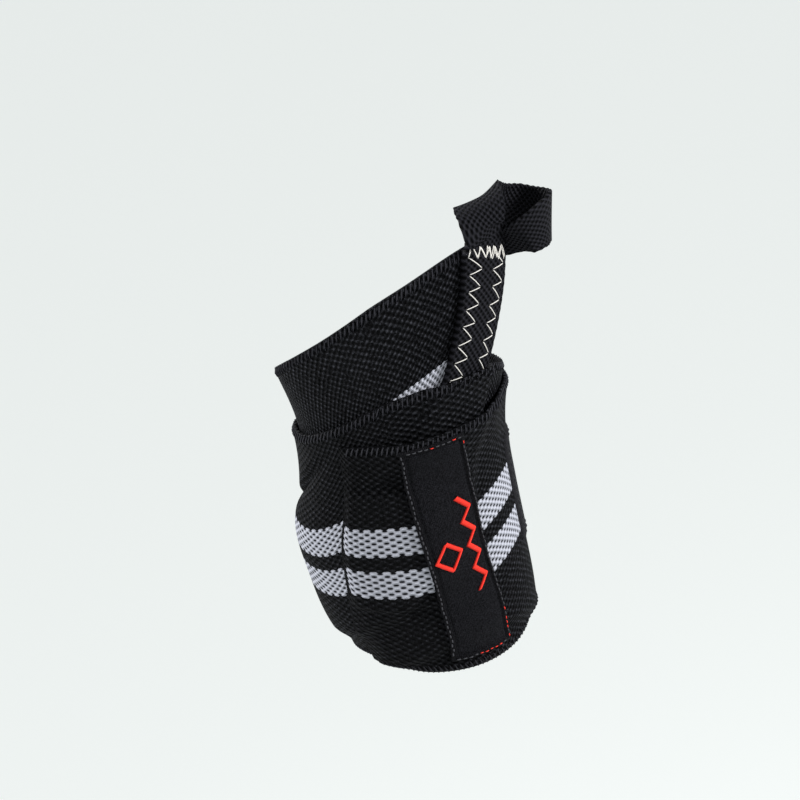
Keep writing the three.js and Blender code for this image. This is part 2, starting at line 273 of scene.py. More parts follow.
# The seam of the thumb loop and the hook tape lie under later turns, so the band rises over them
tape_width = 15
tape_thickness = 1.1
seam_length = 50
gathered_width = 12.8
seam_seat = 0.2
sewn_gap = 0.35
bartack_inset = 1.5
fastener_width = 37
fastener_raise = 4.5
fastener_thickness = 1.2
hook_length = 22
hook_inset = 3
start_height = float(edge("top", 0.0) - edge("bottom", 0.0))
start_lean = math.atan2(float(edge("top_lean", 0.0) - edge("bottom_lean", 0.0)), start_height)
seam_low = 1 - 2 * seam_length / start_height
seam_high = 1 - 2 * bartack_inset / start_height
end_angle = start_angle - 360 * band_turns
hook_turns = turns_of(hook_length, end_angle, 0.0)
hook_end = band_turns - turns_of(hook_inset, end_angle, 0.0)
fastener_low = (2 * fastener_raise - fastener_width) / band_width
fastener_high = (2 * fastener_raise + fastener_width) / band_width


def tape_coverage(angle, z, near=0.4, far=5):
    v = (z - edge("bottom", 0.0)) / start_height * 2 - 1
    rim = on_band(np.zeros_like(v), np.clip(v, -1.3, 1.3))[0]
    away = (rim - angle + 180) % 360 - 180
    inside = np.radians(away) * girth_rate(rim, z) * math.cos(start_lean)
    beside = np.maximum(-inside, inside - gathered_width)
    beyond = np.maximum(seam_low - v, v - 1) * start_height / 2
    return 1 - ease(near, far, np.maximum(beside, beyond))


def band_rise(turn, v):
    """Height above the skin of the band's inner face, in mm"""
    turn, v = np.broadcast_arrays(np.asarray(turn, float), np.asarray(v, float))
    angle, z = on_band(turn, v)
    rise = np.zeros(turn.shape)
    for below in range(1, math.ceil(band_turns) + 1):
        under_turn, under_v = under_at(angle, z, turn - below)
        covered = coverage(under_turn, under_v, 0, band_turns, -1, 1)
        rise += np.where(turn > below - 1, (band_thickness + layer_gap) * covered, 0)
    seam_height = 2 * tape_thickness + 2 * seam_seat - layer_gap
    over_seam = seam_height * np.where(turn > 1.5, tape_coverage(angle, z, near=4, far=16),
                                        tape_coverage(angle, z))
    rise += np.where(turn > 0.5, over_seam, 0)
    over_hook = coverage(turn, v, hook_end - hook_turns, hook_end, fastener_low, fastener_high,
                         near=0.3, far=2.8)
    return rise + np.where(turn > band_turns - 1, (fastener_thickness + sewn_gap) * over_hook, 0)


def off_band(turn, v, lift):
    """Points at a height over the band's inner face, in mm"""
    return on_form(*on_band(turn, v), band_rise(turn, v) + lift)


def show(name, mesh, material, nodes=()):
    """Shows a mesh as a piece that rides on the part and takes the given material"""
    piece = bpy.data.objects.new(name, mesh)
    bpy.context.collection.objects.link(piece)
    mesh.materials.append(material)
    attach(piece, "root")
    if nodes:
        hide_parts(*nodes)
    return piece


def cloth(name, outer, inner, layers):
    """A closed sheet between two grids of points in mm, with pairs of numbers at its points as UV maps"""
    columns, rows = outer.shape[0] - 1, outer.shape[1] - 1
    points = np.concatenate([outer.reshape(-1, 3), inner.reshape(-1, 3)])
    number = np.arange((columns + 1) * (rows + 1)).reshape(columns + 1, rows + 1)
    under = number + number.size
    a, b, c, d = number[:-1, :-1], number[:-1, 1:], number[1:, 1:], number[1:, :-1]
    faces = [
        np.stack([a, b, c, d], -1).reshape(-1, 4),
        np.stack([a, d, c, b], -1).reshape(-1, 4) + number.size,
        np.stack([number[:-1, 0], number[1:, 0], under[1:, 0], under[:-1, 0]], -1),
        np.stack([number[1:, -1], number[:-1, -1], under[:-1, -1], under[1:, -1]], -1),
        np.stack([number[0, 1:], number[0, :-1], under[0, :-1], under[0, 1:]], -1),
        np.stack([number[-1, :-1], number[-1, 1:], under[-1, 1:], under[-1, :-1]], -1),
    ]
    faces = np.concatenate(faces)
    mesh = bpy.data.meshes.new(name)
    mesh.vertices.add(len(points))
    mesh.vertices.foreach_set("co", (points * MM).ravel())
    mesh.loops.add(faces.size)
    mesh.loops.foreach_set("vertex_index", faces.ravel())
    mesh.polygons.add(len(faces))
    mesh.polygons.foreach_set("loop_start", np.arange(0, faces.size, 4))
    mesh.polygons.foreach_set("use_smooth", np.ones(len(faces), bool))
    mesh.update(calc_edges=True)
    for layer, pairs in layers.items():
        pairs = np.broadcast_to(pairs, (*outer.shape[:2], 2)).reshape(-1, 2)
        both = np.concatenate([pairs, pairs])
        mesh.uv_layers.new(name=layer).data.foreach_set("uv", both[faces.ravel()].ravel())
    return mesh


def math_of(tree, operation, *values):
    return node(tree, "Math", dict(enumerate(values)), operation=operation)


def knit_relief(tree, slack):
    """A knit in the "knit" UV map, whose u counts beads along the cloth and v its rows, each row set half a
    bead on from the last: the row number with its edges scalloped by the beads, the height of the yarn from
    0 to 1, and the gaps that open between the beads of a column"""
    place = node(tree, "SeparateXYZ", {0: node(tree, "UVMap", {}, uv_map="knit")}).node.outputs
    along_row = math_of(tree, "COSINE", math_of(tree, "MULTIPLY", place[0], 2 * math.pi))
    phase = math_of(tree, "MULTIPLY", place[1], math.pi)
    across_rows = math_of(tree, "COSINE", phase)
    bead = math_of(tree, "MULTIPLY", along_row, across_rows)
    loose = math_of(tree, "MULTIPLY", along_row, slack)
    scallop = math_of(tree, "MULTIPLY", loose, math_of(tree, "SINE", phase))
    rows = math_of(tree, "MULTIPLY_ADD", scallop, -0.4, place[1])
    hollow = math_of(tree, "MAXIMUM", math_of(tree, "MULTIPLY", bead, -1.0), 0.0)
    between = math_of(tree, "POWER", hollow, 1.1)
    narrow = math_of(tree, "MULTIPLY", across_rows, across_rows)
    gap = math_of(tree, "MULTIPLY", math_of(tree, "MULTIPLY", between, narrow), slack)
    height = math_of(tree, "MULTIPLY_ADD", bead, 0.4, 0.6)
    height = math_of(tree, "MULTIPLY_ADD", gap, -0.4, height)
    return rows, height, gap


def mixed(tree, factor, first, second):
    made = node(tree, "Mix", {"Factor": factor}, data_type="RGBA").node
    for socket, value in ((made.inputs[6], first), (made.inputs[7], second)):
        if isinstance(value, bpy.types.NodeSocket):
            tree.links.new(value, socket)
        else:
            socket.default_value = value
    return made.outputs[2]


# The knit has 39 rows on each side of its middle, 1.03 mm apart. The table gives the length of its beads
# in mm, which grows as the band is stretched, and how far the gaps between them open, from 0 to 1, which
# also sets the painted shade of the slack cloth
rows_per_side = 39
wave_table = {
    "turn": (0.0, 0.9, 1.2, 1.3, 1.7, 2.02, 2.12, 2.3),
    "length": (1.4, 1.5, 2.8, 2.9, 2.3, 2.5, 3.7, 3.7),
    "slack": (0.5, 0.5, 0.8, 0.8, 0.6, 0.7, 1.0, 1.0),
}
band_columns = 440
band_lines = 84
turns = np.linspace(0, band_turns, band_columns + 1)
lines = np.linspace(-1, 1, band_lines + 1)
turn_grid, line_grid = np.meshgrid(turns, lines, indexing="ij")
inner_face = off_band(turn_grid, line_grid, 0)
edge_breadth = 1.6
edge_thinning = 0.45
hem_length = 5
hem_thinning = 0.62


def edge_drop(v):
    """How far the overlocking draws the outer face down near the long edges, in mm"""
    return edge_thinning * band_thickness * (1 - ease(0, edge_breadth, (1 - np.abs(v)) * band_width / 2))


# The hem of the free end is pressed thin
hem_turns = turns_of(hem_length, end_angle, 0.0)
hem_press = hem_thinning * band_thickness * ease(band_turns - hem_turns, band_turns, turn_grid)
outer_face = off_band(turn_grid, line_grid, band_thickness - np.maximum(edge_drop(line_grid), hem_press))
middle = band_lines // 2
steps = np.linalg.norm(np.diff(outer_face[:, middle], axis=0), axis=1)
run = np.concatenate(([0], np.cumsum(steps)))
wave_lengths = along(wave_table, "turn", "length", turns)
waves = np.concatenate(([0], np.cumsum(steps / (wave_lengths[1:] + wave_lengths[:-1]) * 2)))
# Rows by which the stripes run above the middle of the band, where the winding pulls the cloth askew
askew = {
    "turn": (0.0, 0.04, 0.08, 0.13, 0.5, 1.0, 1.12, 1.2, 1.28, 1.4, 1.8, 1.97, 2.01, 2.05, 2.1, 2.245),
    "rows": (4.6, 3.6, 2.1, 1.0, 0.0, 0.0, -0.4, -0.9, -3.2, -1.5, 0.0, 2.4, 1.0, -0.6, 0.9, 1.3),
}
sheared = along(askew, "turn", "rows", turn_grid)
band_mesh = cloth("elastic_band", outer_face, inner_face, {
    "knit": np.stack(np.broadcast_arrays(waves[:, None], line_grid * rows_per_side - sheared), -1),
    "end": np.stack([run[-1] - run, along(wave_table, "turn", "slack", turns)], -1)[:, None],
})

# Matt textured polyester yarn, knitted over stretched rubber: dull beads with gaps between them, clearest in
# the white of the stripes. Their colour is painted lighter on the bead tops as a painted highlight, and
# darker in the grooves and gaps as painted shade. Its fibres are too fine to show, so clumps of them 0.67 mm
# across are drawn.
fibre_clump = 2 / 3
stripe_middle = 7.0
stripe_half = 4.5
hem_cover = 1.1
knit, knit_shader = principled("knitted_elastic", {"Roughness": 0.7, "Specular IOR Level": 0.05})
tree = knit.node_tree
end_place = node(tree, "SeparateXYZ", {0: node(tree, "UVMap", {}, uv_map="end")}).node.outputs
knit_rows, knit_height, knit_gap = knit_relief(tree, end_place[1])
stripe = math_of(tree, "COMPARE", math_of(tree, "ABSOLUTE", knit_rows), stripe_middle, stripe_half)
stripe = math_of(tree, "MULTIPLY", stripe, math_of(tree, "GREATER_THAN", end_place[0], hem_cover))
place = node(tree, "TexCoord", {}).node.outputs["Object"]
fibre = node(tree, "TexNoise", {
    "Vector": place, "Scale": 1 / (fibre_clump * MM), "Detail": 3.0, "Roughness": 0.6,
})
mottled = math_of(tree, "MULTIPLY_ADD", fibre, 4.5, -1.75)
# Painted highlight: the black yarn is painted lighter towards its bead tops, broken up by the fibre clumps
painted_highlight = math_of(tree, "MULTIPLY", math_of(tree, "POWER", knit_height, 3.0), mottled)
# Painted shade: where the knit hangs slack, the painted highlight on the black yarn is dimmed
painted_highlight = math_of(tree, "MULTIPLY", painted_highlight, math_of(tree, "MULTIPLY_ADD", end_place[1], -0.9, 1.4))
painted_highlight.node.use_clamp = True
black_with_painted_light = mixed(tree, painted_highlight, linear("#010102"), linear("#3d3e44"))
# Painted shade on the white yarn: darker in the grooves and gaps between its beads, and darker where the
# knit hangs slack
white_painted_shade = math_of(tree, "MULTIPLY_ADD", knit_height, 0.6, 0.45)
white_painted_shade = math_of(tree, "ADD", math_of(tree, "MULTIPLY_ADD", knit_gap, -0.95, white_painted_shade), 0.1)
white_painted_shade = math_of(tree, "MULTIPLY_ADD", end_place[1], -0.25, white_painted_shade)
white_painted_shade.node.use_clamp = True
white_with_painted_shade = mixed(tree, white_painted_shade, linear("#0c0c10"), linear("#babcc7"))
tree.links.new(mixed(tree, stripe, black_with_painted_light, white_with_painted_shade), knit_shader.inputs["Base Color"])
relief = math_of(tree, "MULTIPLY_ADD", fibre, 0.25, knit_height)
bump = node(tree, "Bump", {"Height": relief, "Strength": 1.0, "Distance": 0.0009})
tree.links.new(bump, knit_shader.inputs["Normal"])
band = show("elastic_band_cloth", band_mesh, knit, ["elastic_band"])


# The overlocking: black polyester thread whipped over both long edges of the band, a stitch each 1.5 mm.
# It is sewn before the band is wound, so it follows the cloth round each turn.
def threads(name, paths, radius, sides=5):
    """Round threads along paths of points in mm, each path of one row of an array, as one mesh"""
    paths = np.asarray(paths, float)
    count, length = paths.shape[:2]
    ahead = np.gradient(paths, axis=1)
    ahead /= np.linalg.norm(ahead, axis=-1, keepdims=True) + 1e-9
    first = np.cross(ahead, (0.31, 0.42, 0.85))
    first /= np.linalg.norm(first, axis=-1, keepdims=True) + 1e-9
    second = np.cross(ahead, first)
    turn_by = np.linspace(0, 2 * math.pi, sides, endpoint=False)
    reach = np.full(length, radius)
    reach[[0, -1]] = radius * 0.4
    reach = reach[None, :, None, None]
    ring = paths[:, :, None] + reach * (
        np.cos(turn_by)[:, None] * first[:, :, None] + np.sin(turn_by)[:, None] * second[:, :, None])
    number = np.arange(count * length * sides).reshape(count, length, sides)
    turned = np.roll(number, -1, axis=2)
    walls = np.stack([number[:, :-1], turned[:, :-1], turned[:, 1:], number[:, 1:]], -1).reshape(-1, 4)
    caps = np.concatenate([number[:, 0, ::-1], number[:, -1]])
    mesh = bpy.data.meshes.new(name)
    mesh.from_pydata((ring.reshape(-1, 3) * MM).tolist(), [], walls.tolist() + caps.tolist())
    mesh.polygons.foreach_set("use_smooth", np.ones(len(mesh.polygons), bool))
    return mesh


# The twist of a thread, in mm, drawn about as coarse as it is
thread_twist = 0.238


def thread_material(name, colour, roughness):
    """Spun polyester thread: one even colour with a soft, dull shine that its twist breaks up"""
    material, shader = principled(name, {
        "Base Color": linear(colour), "Roughness": roughness, "Specular IOR Level": 0.1,
    })
    tree = material.node_tree
    place = node(tree, "TexCoord", {}).node.outputs["Object"]
    twist = node(tree, "TexNoise", {"Vector": place, "Scale": 1 / (thread_twist * MM), "Detail": 1.0})
    bump = node(tree, "Bump", {"Height": twist, "Strength": 0.5, "Distance": 0.0001})
    tree.links.new(bump, shader.inputs["Normal"])
    return material


overlock_pitch = 1.5
overlock_reach = 2.5
overlock_slant = 0.9
overlock_radius = 0.24
# A stitch goes over the edge and back under it: shares of overlock_reach in from the edge, and mm over
# the face
overlock_path = ((1, 0.1), (0.6, 0.16), (0.2, 0.1), (0.06, -0.45), (0.08, -1.2), (0.5, -1.55))
draw = np.random.default_rng(7)
stitches = []
for side, rim in ((-1, 0), (1, -1)):
    edge_steps = np.linalg.norm(np.diff(outer_face[:, rim], axis=0), axis=1)
    edge_run = np.concatenate(([0], np.cumsum(edge_steps)))
    stitch_turns = np.interp(np.arange(1.0, edge_run[-1] - 3, overlock_pitch), edge_run, turns)
    per_turn = np.interp(stitch_turns, turns[1:], edge_steps / np.diff(turns))
    inward = overlock_reach + draw.uniform(-0.25, 0.25, len(stitch_turns))
    for_edge = []
    for share, lift in overlock_path:
        at = np.clip(stitch_turns + overlock_slant * share / per_turn, 0, band_turns)
        across = side * (1 - share * inward * 2 / band_width)
        for_edge.append(off_band(at, across, band_thickness + lift - edge_drop(across) * (lift > 0)))
    stitches.append(np.stack(for_edge, axis=1))
black_thread = thread_material("black_polyester_thread", "#26262b", 0.5)
overlock_mesh = threads("overlock_stitches", np.concatenate(stitches), overlock_radius, 4)
overlock = show("overlock_stitches", overlock_mesh, black_thread)


# The thumb loop: a 15 mm woven elastic tape, folded in two and sewn across the start of the band by a
# seam that gathers it. It leaves the seam as one layer, goes round the base of the thumb, and its end is
# tucked behind its own front leg.
loop_breadth = 27
loop_depth = 26
loop_rise = 11
# To the right of the seam's top as a share of loop_breadth, back as one of loop_depth and up as one of
# loop_rise, the way the outer face looks in degrees round from the front and upwards, and the breadth
# over tape_width
loop_path = {
    "right": (0.035, 0.045, 0.055, 0.08, 0.13, 0.25, 0.46, 0.65, 0.76, 0.765, 0.67, 0.47),
    "back": (-0.10, -0.03, 0.10, 0.26, 0.45, 0.64, 0.73, 0.645, 0.44, 0.23, 0.06, -0.02),
    "up": (0.36, 0.66, 0.85, 0.86, 0.57, 0.20, -0.05, -0.18, -0.15, -0.06, -0.06, -0.18),
    "round": (27, 9, -8, -40, -100, -145, -178, -218, -255, -283, -312, -335),
    "upwards": (2, 12, 38, 62, 48, 22, 2, -6, -12, -12, -6, 0),
    "breadth": (0.9, 0.95, 1, 1, 1, 1, 1, 1, 1, 1, 0.97, 0.8),
}


def over_seam(v, inside, lift):
    """Points v along the starting edge and `inside` mm in from it, in mm"""
    v, inside, lift = np.broadcast_arrays(np.asarray(v, float), inside, lift)
    angle, z = on_band(np.zeros(v.shape), v)
    z = z + inside * math.sin(start_lean)
    round_it = inside * math.cos(start_lean) / girth_rate(angle, z)
    return on_form(angle - np.degrees(round_it), z, lift)


def look_from(v):
    across = over_seam(v, 0, 0) - over_seam(v, gathered_width, 0)
    rising = over_seam(v, 0, 0) - over_seam(v - 0.05, 0, 0)
    out = np.cross(across, rising)
    return out / np.linalg.norm(out)


tape_low = band_thickness + seam_seat
tape_single = tape_low + tape_thickness
tape_high = tape_single + tape_thickness
tape_rows = 20
seam_steps = 56
seam_v = np.linspace(seam_low, seam_high, seam_steps + 1)
seam_end = over_seam(seam_high, gathered_width / 2, tape_low)
upper_layer = tape_single + tape_thickness / 2
# The first bend lies down in the seam, so that the loop leaves it straight
bends = [(over_seam(v, gathered_width / 2, upper_layer), look_from(v), gathered_width / tape_width)
         for v in (seam_v[-9], seam_high)]
for to_right, back, rise, turned, upwards, breadth in zip(*loop_path.values()):
    turned, upwards = math.radians(turned), math.radians(upwards)
    out = (math.sin(turned) * math.cos(upwards), -math.cos(turned) * math.cos(upwards), math.sin(upwards))
    bends.append((seam_end + (to_right * loop_breadth, back * loop_depth, rise * loop_rise), out, breadth))
tuck_v = 0.93
tuck_breadth = 0.6
for inside in (-0.02, 0.42):
    bends.append((over_seam(tuck_v, tape_width * inside, tape_low + 0.4), look_from(tuck_v), tuck_breadth))


def curve_through(points, at):
    """A centripetal Catmull-Rom curve through points, read at numbers of spans from the first"""
    padded = np.concatenate([[2 * points[0] - points[1]], points, [2 * points[-1] - points[-2]]])
    k = np.minimum(at.astype(int), len(points) - 2)
    part = [padded[k + j] for j in range(4)]
    knot = [np.zeros(len(at))]
    for j in range(3):
        knot.append(knot[j] + np.linalg.norm(part[j + 1] - part[j], axis=1) ** 0.5)
    t = knot[1] + (at - k) * (knot[2] - knot[1])

    def blend(a, b, from_knot, to_knot):
        share = ((t - from_knot) / (to_knot - from_knot))[:, None]
        return a * (1 - share) + b * share

    first = [blend(part[j], part[j + 1], knot[j], knot[j + 1]) for j in range(3)]
    second = [blend(first[j], first[j + 1], knot[j], knot[j + 2]) for j in range(2)]
    return blend(second[0], second[1], knot[1], knot[2])


loop_steps = 190
at = np.linspace(1, len(bends) - 1, loop_steps + 1)[1:]
centres = curve_through(np.array([bend[0] for bend in bends]), at)
spots = np.arange(len(bends))
outs = np.stack([np.interp(at, spots, [bend[1][j] for bend in bends]) for j in range(3)], -1)
breadths = tape_width * np.interp(at, spots, [bend[2] for bend in bends])
ahead = np.gradient(centres, axis=0)
ahead /= np.linalg.norm(ahead, axis=1, keepdims=True)
across = np.cross(ahead, outs)
across /= np.linalg.norm(across, axis=1, keepdims=True)
facing = np.cross(across, ahead)
share = np.linspace(0, 1, tape_rows + 1)
# The selvedges are drawn in a little at each weft, which gives them their scallops
tape_run = np.concatenate(([0], np.cumsum(np.linalg.norm(np.diff(centres, axis=0), axis=1))))
seam_run = (seam_v - seam_low) * start_height / 2
scallop_length = 2.4
scallop_depth = 0.03
top_gather = 0.1


def drawn_in(distance):
    return 1 - scallop_depth * (0.5 + 0.5 * np.cos(2 * math.pi * distance / scallop_length))


seam_share = 0.5 + (share[None, :] - 0.5) * drawn_in(seam_run)[:, None]
gather = 1 - top_gather * ease(-5, 0, seam_run - seam_run[-1])
seam_inside = gathered_width * (1 - seam_share) * gather[:, None]
seam_outer = over_seam(seam_v[:, None], seam_inside, tape_high)
seam_inner = over_seam(seam_v[:, None], seam_inside, tape_low)
loop_share = (share[None, :] - 0.5) * (breadths * drawn_in(tape_run + seam_run[-1]))[:, None]
loop_middle = centres[:, None] + across[:, None] * loop_share[..., None]
half_tape = facing[:, None] * tape_thickness / 2
tape_outer = np.concatenate([seam_outer, loop_middle + half_tape])
tape_inner = np.concatenate([seam_inner, loop_middle - half_tape])
along_tape = np.concatenate([seam_run, seam_run[-1] + 0.4 + tape_run])
# The weave shows as beads 1.9 mm long in rows 0.95 mm apart
tape_wave = 1.9
tape_row = 0.95
tape_mesh = cloth("thumb_loop", tape_outer, tape_inner, {
    "knit": np.stack(np.broadcast_arrays(along_tape[:, None] / tape_wave,
                                         (share[None, :] - 0.5) * tape_width / tape_row), -1),
})
# Matt polyester yarn woven over rubber: a dull black with a fine grain of staggered beads, whose tops are
# painted lighter as a painted highlight
tape, tape_shader = principled("woven_elastic_tape", {"Roughness": 0.7, "Specular IOR Level": 0.05})
tree = tape.node_tree
_, tape_height, _ = knit_relief(tree, 0.9)
# Painted highlight: the tape's yarn is painted lighter towards the tops of its beads
tape_colour_painted_highlight = mixed(tree, tape_height, linear("#010102"), linear("#222227"))
tree.links.new(tape_colour_painted_highlight, tape_shader.inputs["Base Color"])
bump = node(tree, "Bump", {"Height": tape_height, "Strength": 1.0, "Distance": 0.0010})
tree.links.new(bump, tape_shader.inputs["Normal"])
thumb_loop = show("thumb_loop_tape", tape_mesh, tape, ["thumb_loop"])


# The seam's stitching: two columns of zigzags in fine off-white thread, one along each side of the tape,
# and a bartack of the same thread across its upper end, where the loop pulls.
zigzag_pitch = 4.9
zigzag_slope = 1.5
zigzag_radius = 0.16
zigzag_start = 4.0
# Inwards from the starting edge, in mm: the two sides of each column of zigzags
zigzag_sides = ((1.2, 4.7), (8.0, 11.9))
seam_thread = thread_material("off_white_thread", "#d0cdc7", 0.5)
stitch_height = tape_high + 0.12


def stitched(corners, dip=0.25, parts=6):
    """Straight stitches between corners (v, inside) over the seam, each drawn into the tape at its ends"""
    corners = np.array(corners)
    steps = np.linspace(0, 1, parts + 1)[None, :, None]
    spots = corners[:-1, None] * (1 - steps) + corners[1:, None] * steps
    arch = np.sin(math.pi * steps[..., 0]) * dip
    return over_seam(spots[..., 0], spots[..., 1], stitch_height - dip + arch)


zigzags = []
for near, far in zigzag_sides:
    count = int((seam_length - bartack_inset - 3) / zigzag_pitch * 2)
    corners = []
    for i in range(count + 1):
        slope = zigzag_slope if i % 2 else 0
        down = zigzag_start + i * zigzag_pitch / 2 + slope + draw.uniform(-0.2, 0.2)
        side = (near if i % 2 else far) + draw.uniform(-0.25, 0.25)
        corners.append((seam_high - 2 * down / start_height, side))
    zigzags.append(stitched(corners))
zigzag_mesh = threads("seam_zigzags", np.concatenate(zigzags), zigzag_radius)
zigzag = show("seam_zigzags", zigzag_mesh, seam_thread)

# The bartack goes over and back across the tape in tall, uneven stitches, a little askew
bartack_tall = 4.4
bartack_climb = 2.2
bartack_radius = 0.17
bartack_sweeps = 10
corners = []
for i in range(2 * bartack_sweeps + 1):
    sweep = 1 - abs(i / bartack_sweeps - 1)
    inside = 1.0 + (gathered_width - 2.0) * sweep + draw.uniform(-0.5, 0.5)
    down = (0.5 if i % 2 else bartack_tall) + bartack_climb * (1 - inside / gathered_width)
    down += draw.uniform(-0.5, 0.6)
    corners.append((seam_high - 2 * down / start_height, inside))
bartack_mesh = threads("bartack", stitched(corners, 0.1), bartack_radius)
bartack = show("bartack", bartack_mesh, seam_thread)


# The fastening: a strip of brushed loop tape sewn on the outer face of the last turn, and a short strip
# of hook tape under the free end, which grips the turn beneath and doesn't show.
loop_patch_turn = 1.932
loop_patch_length = 80


def strip(name, start, end, low, high, base, top, pitch=1.0, round_rim=0.5):
    """A strip that follows the band between two turns and two v, with its rim rounded"""
    middle_rate = float(girth_rate(start_angle - 180 * (start + end), 0.0)) * 2 * math.pi
    columns = max(int((end - start) * middle_rate / pitch), 4)
    rows = max(int((high - low) * band_width / 2 / pitch), 4)
    turn_at, v_at = np.meshgrid(np.linspace(start, end, columns + 1), np.linspace(low, high, rows + 1),
                                indexing="ij")
    from_rim = np.minimum(np.minimum(turn_at - start, end - turn_at) * middle_rate,
                          np.minimum(v_at - low, high - v_at) * band_width / 2)
    rim = round_rim * (top - base) * (1 - ease(0, 1.2, from_rim))
    outer = off_band(turn_at, v_at, top - rim)
    return cloth(name, outer, off_band(turn_at, v_at, base), {})


# Brushed nylon loops: a soft black fuzz that scatters light and shows no weave. Its loops are too fine to
# show, so tufts of them 0.385 mm across are drawn.
tuft_breadth = 0.385
pile, pile_shader = principled("brushed_loop_pile", {
    "Roughness": 0.95, "Sheen Weight": 0.03, "Sheen Roughness": 0.6, "Specular IOR Level": 0.05,
})
tree = pile.node_tree
place = node(tree, "TexCoord", {}).node.outputs["Object"]
fuzz = node(tree, "TexNoise", {
    "Vector": place, "Scale": 1 / (tuft_breadth * MM), "Detail": 4.0, "Roughness": 0.7,
})
bump = node(tree, "Bump", {"Height": fuzz, "Strength": 0.9, "Distance": 0.0005})
tree.links.new(bump, pile_shader.inputs["Normal"])
tufts = math_of(tree, "MULTIPLY_ADD", fuzz, 3.0, -1.0)
tufts.node.use_clamp = True
tree.links.new(mixed(tree, tufts, linear("#040405"), linear("#26262a")), pile_shader.inputs["Base Color"])
patch_turns = turns_of(loop_patch_length, start_angle - 360 * (loop_patch_turn - 0.2), 0.0)
patch_base = band_thickness - 0.2
patch_top = band_thickness + 0.7
patch_mesh = strip("loop_patch", loop_patch_turn - patch_turns, loop_patch_turn, fastener_low, fastener_high,
                   patch_base, patch_top, round_rim=0.9)
loop_patch = show("loop_patch_pile", patch_mesh, pile, ["loop_patch"])
# A lockstitch runs round the patch, 2 mm in from its rim
hem_inset = 2.0
lockstitch_pitch = 2.6
lockstitch_length = 2.1
lockstitch_radius = 0.2
patch_rate = float(girth_rate(start_angle - 360 * loop_patch_turn, 0.0)) * 2 * math.pi
patch_low, patch_high = (v * band_width / 2 for v in (fastener_low, fastener_high))
patch_run = patch_turns * patch_rate
hem_left, hem_right = patch_run - hem_inset, hem_inset
hem_low, hem_high = patch_low + hem_inset, patch_high - hem_inset
hem_corners = [(hem_right, hem_low), (hem_left, hem_low), (hem_left, hem_high), (hem_right, hem_high)]
hem_stitches = []
for a, b in zip(hem_corners, hem_corners[1:] + hem_corners[:1]):
    a, b = np.array(a), np.array(b)
    side_length = np.linalg.norm(b - a)
    for begin in np.arange(0, side_length - 2, lockstitch_pitch):
        spots = a + (b - a) / side_length * (begin + lockstitch_length * np.linspace(0, 1, 4)[:, None])
        stitch_turn = loop_patch_turn - spots[:, 0] / patch_rate
        stitch_lift = patch_top + np.array([-0.1, 0.1, 0.1, -0.1])
        hem_stitches.append(off_band(stitch_turn, spots[:, 1] / (band_width / 2), stitch_lift))
patch_stitch_mesh = threads("loop_patch_stitching", hem_stitches, lockstitch_radius)
patch_stitching = show("loop_patch_stitching", patch_stitch_mesh, black_thread)
# The hook tape doesn't show, so it shares the loop tape's material
hook_mesh = strip("hook_patch", hook_end - hook_turns, hook_end, fastener_low, fastener_high,
                  -sewn_gap - fastener_thickness, -sewn_gap)
hook_patch = show("hook_patch_tape", hook_mesh, pile, ["hook_patch"])


# The label: a badge of black satin twill with a cord-like border, lockstitched all round across the last
# turn. A zigzag and a lozenge are worked on it in red satin stitch, and red shows in its seam near the
# corners.
label_turn = 2.0857
label_middle = 0.033
label_width = 20
label_length = 74.4
label_lean = 0.19
label_thickness = 0.8
label_margin = 1.7
label_half = turns_of(label_width, start_angle - 360 * label_turn, 0.0) / 2
label_reach = label_length / band_width
label_top = band_thickness + sewn_gap + label_thickness
label_columns, label_rows = 56, 190
label_turns, label_lines = np.meshgrid(np.linspace(-label_half, label_half, label_columns + 1),
                                       np.linspace(-label_reach, label_reach, label_rows + 1), indexing="ij")
label_v = label_middle + label_lines
label_x = label_turns / label_half * label_width / 2
label_y = label_lines / label_reach * label_length / 2
from_rim = np.minimum(label_width / 2 - np.abs(label_x), label_length / 2 - np.abs(label_y))
# The border stands up like a cord, with a groove between it and the face
cord_height = 0.25
groove_depth = 0.35
rim_drop = 0.45
border = cord_height * np.sin(math.pi * np.clip(from_rim / label_margin, 0, 1))
groove = groove_depth * np.exp(-((from_rim - label_margin - 0.2) / 0.35) ** 2)
rim = rim_drop * (1 - ease(0, 0.8, from_rim))


def smoothed(grid, passes):
    """A grid of numbers with each drawn towards its neighbours, pass after pass"""
    for _ in range(passes):
        for axis in (0, 1):
            held = np.concatenate([grid.take([0], axis), grid, grid.take([-1], axis)], axis)
            inner = [slice(None)] * 2
            before, after = list(inner), list(inner)
            before[axis], after[axis] = slice(0, -2), slice(2, None)
            grid = 0.5 * grid + 0.25 * (held[tuple(before)] + held[tuple(after)])
    return grid


# The badge is stiff, so it keeps its width, leans a little and bridges what lies under the band
trial = off_band(label_turn + label_turns[[0, -1]], label_v[[0, -1]], label_top)
narrowing = label_width / np.linalg.norm(trial[1] - trial[0], axis=-1)
label_at = label_turn + label_turns * narrowing + label_lean * label_lines * label_half
label_rise = smoothed(band_rise(label_at, label_v), 160)
label_face = on_form(*on_band(label_at, label_v), label_rise + label_top)
label_normal = np.cross(np.gradient(label_face, axis=1), np.gradient(label_face, axis=0))
label_normal /= np.linalg.norm(label_normal, axis=-1, keepdims=True)
label_outer = label_face + label_normal * (border - groove - rim)[..., None]
label_inner = off_band(label_at, label_v, band_thickness + 0.05)
label_mesh = cloth("label", label_outer, label_inner, {
    "place": np.stack([label_x, label_y], -1),
    "rim": np.stack([from_rim, from_rim], -1),
})
